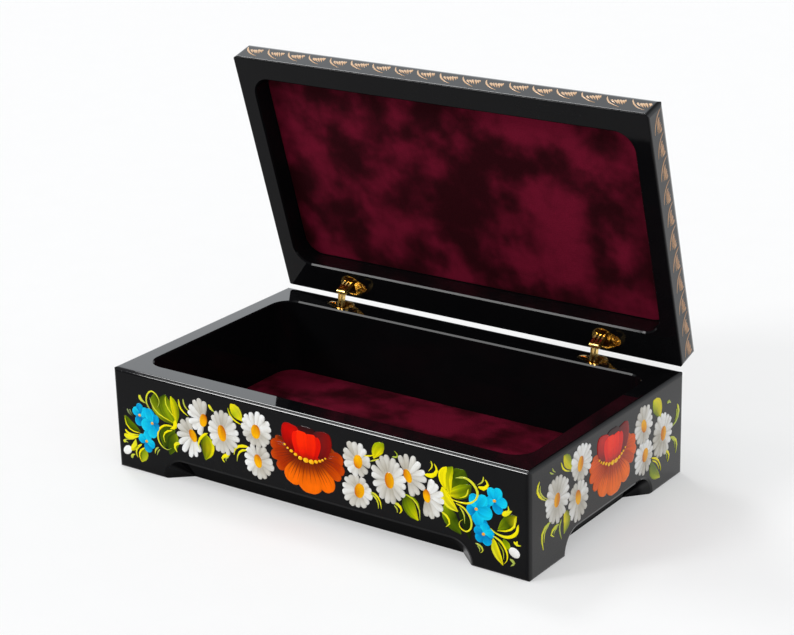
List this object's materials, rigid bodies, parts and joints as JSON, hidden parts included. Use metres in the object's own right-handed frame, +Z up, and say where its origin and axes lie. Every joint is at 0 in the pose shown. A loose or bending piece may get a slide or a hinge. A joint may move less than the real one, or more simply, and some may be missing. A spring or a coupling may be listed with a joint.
{
  "type": "painted wooden box",
  "caption": "Rectangular black lacquered wooden box with a painted flower band, a set-back lid on concealed barrel hinges, bevelled arches in its skirts and velvet linings.",
  "frame": {"origin": "on the floor under the middle of the whole outline, with the lid open", "axes": "+X to the right along the box's length, +Y to the back, +Z up"},
  "size_m": [0.26, 0.1672, 0.2062],
  "materials": {
    "lacquer": "gloss black lacquer over painted wood",
    "plywood": "plain plywood, matt",
    "card": "grey board, matt",
    "velvet": "burgundy pile velvet",
    "brass": "bright lacquered brass"
  },
  "bodies": {
    "box": {"front_board": "lacquer", "back_board": "lacquer", "left_board": "lacquer", "right_board": "lacquer", "bottom_panel": "plywood", "floor_card": "card", "floor_velvet": "velvet", "left_box_barrel": "brass", "right_box_barrel": "brass", "box_hinge_screws": "brass"},
    "lid": {"lid_front_rail": "lacquer", "lid_back_rail": "lacquer", "lid_left_rail": "lacquer", "lid_right_rail": "lacquer", "lid_top_panel": "lacquer", "lid_card": "card", "lid_velvet": "velvet", "left_lid_barrel": "brass", "right_lid_barrel": "brass", "lid_hinge_screws": "brass"},
    "left_lower_links": {"left_lower_links": "brass", "left_knuckle_pin": "brass", "left_lower_tail_pin": "brass"},
    "left_upper_links": {"left_upper_links": "brass", "left_upper_tail_pin": "brass"},
    "right_lower_links": {"right_lower_links": "brass", "right_knuckle_pin": "brass", "right_lower_tail_pin": "brass"},
    "right_upper_links": {"right_upper_links": "brass", "right_upper_tail_pin": "brass"}
  },
  "joints": [
    {"name": "lid_hinge", "type": "hinge", "parent": "box", "child": "lid", "pos_m": [0, 0.06865, 0.0572], "axis": [-1, 0, 0], "range_deg": [-74, 21]},
    {"name": "left_lower_swing", "type": "hinge", "parent": "box", "child": "left_lower_links", "pos_m": [-0.0827, 0.06865, 0.0572], "axis": [-1, 0, 0], "range_deg": [-37, 10.5]},
    {"name": "left_upper_swing", "type": "hinge", "parent": "lid", "child": "left_upper_links", "pos_m": [-0.0827, 0.06865, 0.0572], "axis": [-1, 0, 0], "range_deg": [-10.5, 37]},
    {"name": "right_lower_swing", "type": "hinge", "parent": "box", "child": "right_lower_links", "pos_m": [0.0827, 0.06865, 0.0572], "axis": [-1, 0, 0], "range_deg": [-37, 10.5]},
    {"name": "right_upper_swing", "type": "hinge", "parent": "lid", "child": "right_upper_links", "pos_m": [0.0827, 0.06865, 0.0572], "axis": [-1, 0, 0], "range_deg": [-10.5, 37]}
  ],
  "couplings": [
    {"joint": "left_lower_swing", "follows": "lid_hinge", "ratio": 0.5},
    {"joint": "left_upper_swing", "follows": "lid_hinge", "ratio": -0.5},
    {"joint": "right_lower_swing", "follows": "lid_hinge", "ratio": 0.5},
    {"joint": "right_upper_swing", "follows": "lid_hinge", "ratio": -0.5}
  ]
}
